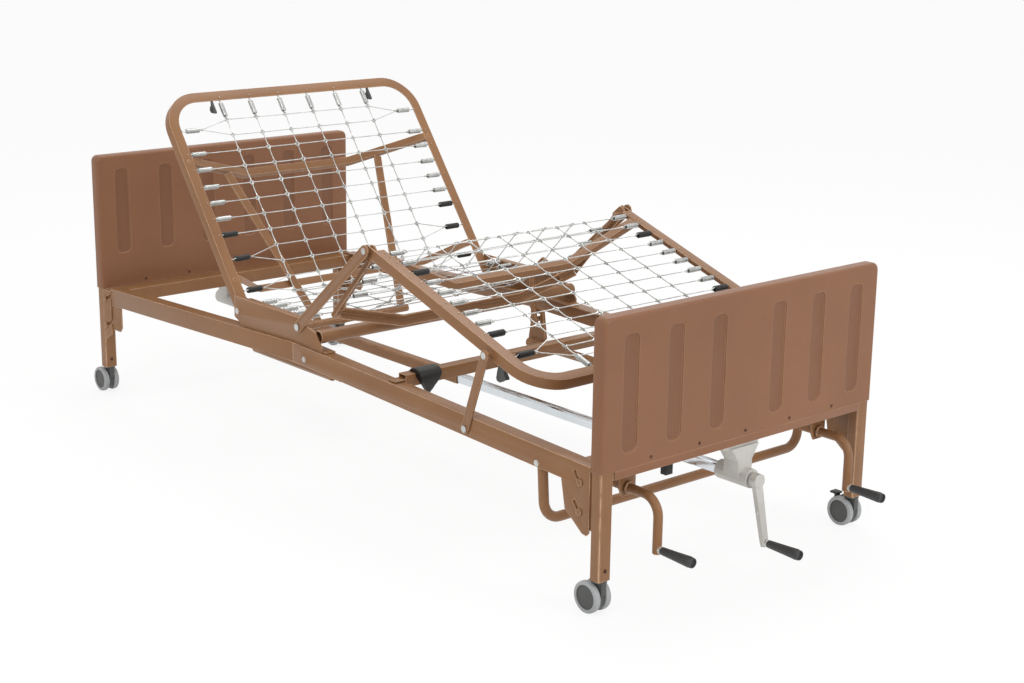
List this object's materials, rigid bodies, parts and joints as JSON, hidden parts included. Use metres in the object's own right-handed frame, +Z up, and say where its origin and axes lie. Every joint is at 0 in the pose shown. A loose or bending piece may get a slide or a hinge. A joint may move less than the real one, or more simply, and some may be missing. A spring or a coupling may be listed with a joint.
{
  "type": "hospital bed",
  "caption": "Manual home-care bed with pressed end panels, telescoping crank-driven legs, angle-iron rails and a tilting wire spring deck on casters",
  "frame": {"origin": "Centre of the bounding box at floor level, in the pictured pose", "axes": "+X towards the foot end, +Y towards the far side, +Z up"},
  "size_m": [2.459, 0.9184, 0.9511],
  "materials": {
    "brown_enamel": "satin enamel",
    "panel_enamel": "satin enamel on pressed steel",
    "zinc": "bright zinc plate",
    "chrome": "polished",
    "cast_aluminium": "as cast",
    "black_rubber": "moulded",
    "black_plastic": "moulded",
    "caster_plastic": "moulded",
    "grey_tyre": "moulded"
  },
  "bodies": {
    "base": {"head_panel": "panel_enamel", "foot_panel": "panel_enamel", "head_end_frame": "brown_enamel", "foot_end_frame": "brown_enamel", "head_gearbox": "cast_aluminium", "foot_gearbox": "cast_aluminium", "head_rail_near": "brown_enamel", "head_rail_far": "brown_enamel", "foot_rail_near": "brown_enamel", "foot_rail_far": "brown_enamel", "head_cross_angle": "brown_enamel", "foot_cross_angle": "brown_enamel", "seat_plate_near": "brown_enamel", "seat_plate_far": "brown_enamel", "centre_tube": "brown_enamel", "knee_cross_member": "brown_enamel", "saddle_hook": "black_plastic", "hanging_clip": "black_plastic", "stand_bow": "brown_enamel", "seat_net": "zinc", "back_crank_bearing": "brown_enamel", "knee_crank_bearing": "brown_enamel"},
    "back_section": {"back_frame": "brown_enamel", "back_push_frame": "brown_enamel", "back_net": "zinc"},
    "thigh_section": {"thigh_link_near": "brown_enamel", "thigh_link_far": "brown_enamel", "thigh_frame": "brown_enamel", "thigh_net": "zinc"},
    "calf_section": {"calf_frame": "brown_enamel", "calf_net": "zinc"},
    "foot_link_near": {"foot_link_near": "brown_enamel"},
    "foot_link_far": {"foot_link_far": "brown_enamel"},
    "back_drive": {"back_crank": "brown_enamel", "back_screw": "zinc"},
    "back_grip": {"back_crank_grip": "black_rubber"},
    "knee_drive": {"knee_crank": "brown_enamel", "knee_screw": "zinc"},
    "knee_grip": {"knee_crank_grip": "black_rubber"},
    "height_drive": {"height_crank": "cast_aluminium", "drive_shaft_inner": "chrome", "drive_shaft_sleeve": "brown_enamel"},
    "height_grip": {"height_crank_grip": "black_rubber"},
    "back_push_tube": {"back_push_tube": "brown_enamel"},
    "knee_pull_tube": {"knee_pull_tube": "brown_enamel"},
    "foot_legs": {"foot_inner_legs": "zinc"},
    "head_legs": {"head_inner_legs": "zinc"},
    "foot_lead_screw": {"foot_lead_screw": "zinc"},
    "head_lead_screw": {"head_lead_screw": "zinc"},
    "caster_foot_near": {"caster_hood_foot_near": "caster_plastic"},
    "wheels_foot_near": {"caster_wheels_foot_near": "grey_tyre"},
    "caster_foot_far": {"caster_hood_foot_far": "caster_plastic"},
    "wheels_foot_far": {"caster_wheels_foot_far": "grey_tyre"},
    "pedal_foot_far": {"brake_pedal_foot_far": "black_plastic"},
    "caster_head_near": {"caster_hood_head_near": "caster_plastic"},
    "wheels_head_near": {"caster_wheels_head_near": "grey_tyre"},
    "caster_head_far": {"caster_hood_head_far": "caster_plastic"},
    "wheels_head_far": {"caster_wheels_head_far": "grey_tyre"},
    "pedal_head_far": {"brake_pedal_head_far": "black_plastic"}
  },
  "joints": [
    {"name": "back_tilt", "type": "hinge", "parent": "base", "child": "back_section", "pos_m": [-0.404, 0, 0.407], "axis": [0, 1, 0], "range_deg": [-53.2, 12]},
    {"name": "thigh_tilt", "type": "hinge", "parent": "base", "child": "thigh_section", "pos_m": [-0.11, 0, 0.422], "axis": [0, -1, 0], "range_deg": [-40.5, 0]},
    {"name": "calf_tilt", "type": "hinge", "parent": "thigh_section", "child": "calf_section", "pos_m": [0.18656, 0, 0.67529], "axis": [0, 1, 0], "range_deg": [-56.8, 0]},
    {"name": "foot_link_near_tilt", "type": "hinge", "parent": "base", "child": "foot_link_near", "pos_m": [0.584, -0.454, 0.32], "axis": [0, -1, 0], "range_deg": [-48.4, 0]},
    {"name": "foot_link_far_tilt", "type": "hinge", "parent": "base", "child": "foot_link_far", "pos_m": [0.584, 0.454, 0.32], "axis": [0, -1, 0], "range_deg": [-48.4, 0]},
    {"name": "back_crank_turn", "type": "hinge", "parent": "base", "child": "back_drive", "pos_m": [0.961, -0.298, 0.249], "axis": [1, 0, 0], "range_deg": [-6400, 1440]},
    {"name": "knee_crank_turn", "type": "hinge", "parent": "base", "child": "knee_drive", "pos_m": [0.961, 0.36, 0.249], "axis": [1, 0, 0], "range_deg": [-5040, 0]},
    {"name": "height_crank_turn", "type": "hinge", "parent": "base", "child": "height_drive", "pos_m": [1.0295, 0, 0.232], "axis": [1, 0, 0], "range_deg": [0, 14616]},
    {"name": "back_push_slide", "type": "slide", "parent": "base", "child": "back_push_tube", "axis": [-1, 0, 0], "range_m": [-0.0909, 0.0205]},
    {"name": "knee_pull_slide", "type": "slide", "parent": "base", "child": "knee_pull_tube", "axis": [1, 0, 0], "range_m": [-0.0706, 0]},
    {"name": "foot_leg_slide", "type": "slide", "parent": "base", "child": "foot_legs", "axis": [0, 0, -1], "range_m": [0, 0.2031]},
    {"name": "head_leg_slide", "type": "slide", "parent": "base", "child": "head_legs", "axis": [0, 0, -1], "range_m": [0, 0.2031]},
    {"name": "foot_screw_turn", "type": "hinge", "parent": "base", "child": "foot_lead_screw", "pos_m": [1.0295, 0, 0.3], "axis": [0, 0, -1], "range_deg": [0, 14620]},
    {"name": "head_screw_turn", "type": "hinge", "parent": "base", "child": "head_lead_screw", "pos_m": [-1.1675, 0, 0.3], "axis": [0, 0, 1], "range_deg": [0, 14620]},
    {"name": "back_grip_spin", "type": "hinge", "parent": "back_drive", "child": "back_grip", "pos_m": [1.121, -0.298, 0.131], "axis": [1, 0, 0], "continuous": true},
    {"name": "knee_grip_spin", "type": "hinge", "parent": "knee_drive", "child": "knee_grip", "pos_m": [1.121, 0.36, 0.131], "axis": [1, 0, 0], "continuous": true},
    {"name": "height_grip_spin", "type": "hinge", "parent": "height_drive", "child": "height_grip", "pos_m": [1.181, 0, 0.09], "axis": [1, 0, 0], "continuous": true},
    {"name": "swivel_foot_near", "type": "hinge", "parent": "foot_legs", "child": "caster_foot_near", "pos_m": [1.0295, -0.4347, 0.09], "axis": [0, 0, 1], "continuous": true},
    {"name": "wheels_foot_near_roll", "type": "hinge", "parent": "caster_foot_near", "child": "wheels_foot_near", "pos_m": [1.0075, -0.4347, 0.0375], "axis": [0, 1, 0], "continuous": true},
    {"name": "swivel_foot_far", "type": "hinge", "parent": "foot_legs", "child": "caster_foot_far", "pos_m": [1.0295, 0.4347, 0.09], "axis": [0, 0, 1], "continuous": true},
    {"name": "wheels_foot_far_roll", "type": "hinge", "parent": "caster_foot_far", "child": "wheels_foot_far", "pos_m": [1.0075, 0.4347, 0.0375], "axis": [0, 1, 0], "continuous": true},
    {"name": "brake_foot_far_tilt", "type": "hinge", "parent": "caster_foot_far", "child": "pedal_foot_far", "pos_m": [0.9835, 0.4347, 0.0575], "axis": [0, -1, 0], "range_deg": [0, 12]},
    {"name": "swivel_head_near", "type": "hinge", "parent": "head_legs", "child": "caster_head_near", "pos_m": [-1.1675, -0.4347, 0.09], "axis": [0, 0, 1], "continuous": true},
    {"name": "wheels_head_near_roll", "type": "hinge", "parent": "caster_head_near", "child": "wheels_head_near", "pos_m": [-1.1895, -0.4347, 0.0375], "axis": [0, 1, 0], "continuous": true},
    {"name": "swivel_head_far", "type": "hinge", "parent": "head_legs", "child": "caster_head_far", "pos_m": [-1.1675, 0.4347, 0.09], "axis": [0, 0, 1], "continuous": true},
    {"name": "wheels_head_far_roll", "type": "hinge", "parent": "caster_head_far", "child": "wheels_head_far", "pos_m": [-1.1895, 0.4347, 0.0375], "axis": [0, 1, 0], "continuous": true},
    {"name": "brake_head_far_tilt", "type": "hinge", "parent": "caster_head_far", "child": "pedal_head_far", "pos_m": [-1.2135, 0.4347, 0.0575], "axis": [0, -1, 0], "range_deg": [0, 12]}
  ],
  "couplings": [
    {"joint": "back_tilt", "follows": "back_crank_turn", "ratio": 0.0083},
    {"joint": "back_push_slide", "follows": "back_crank_turn", "m_per_rad": 0.0008127},
    {"joint": "thigh_tilt", "follows": "knee_crank_turn", "ratio": 0.008035},
    {"joint": "calf_tilt", "follows": "knee_crank_turn", "ratio": 0.011266},
    {"joint": "foot_link_near_tilt", "follows": "knee_crank_turn", "ratio": 0.0096},
    {"joint": "foot_link_far_tilt", "follows": "knee_crank_turn", "ratio": 0.0096},
    {"joint": "knee_pull_slide", "follows": "knee_crank_turn", "m_per_rad": 0.0008015},
    {"joint": "foot_leg_slide", "follows": "height_crank_turn", "m_per_rad": 0.00079577},
    {"joint": "head_leg_slide", "follows": "height_crank_turn", "m_per_rad": 0.00079577},
    {"joint": "foot_screw_turn", "follows": "height_crank_turn", "ratio": 1},
    {"joint": "head_screw_turn", "follows": "height_crank_turn", "ratio": 1}
  ]
}
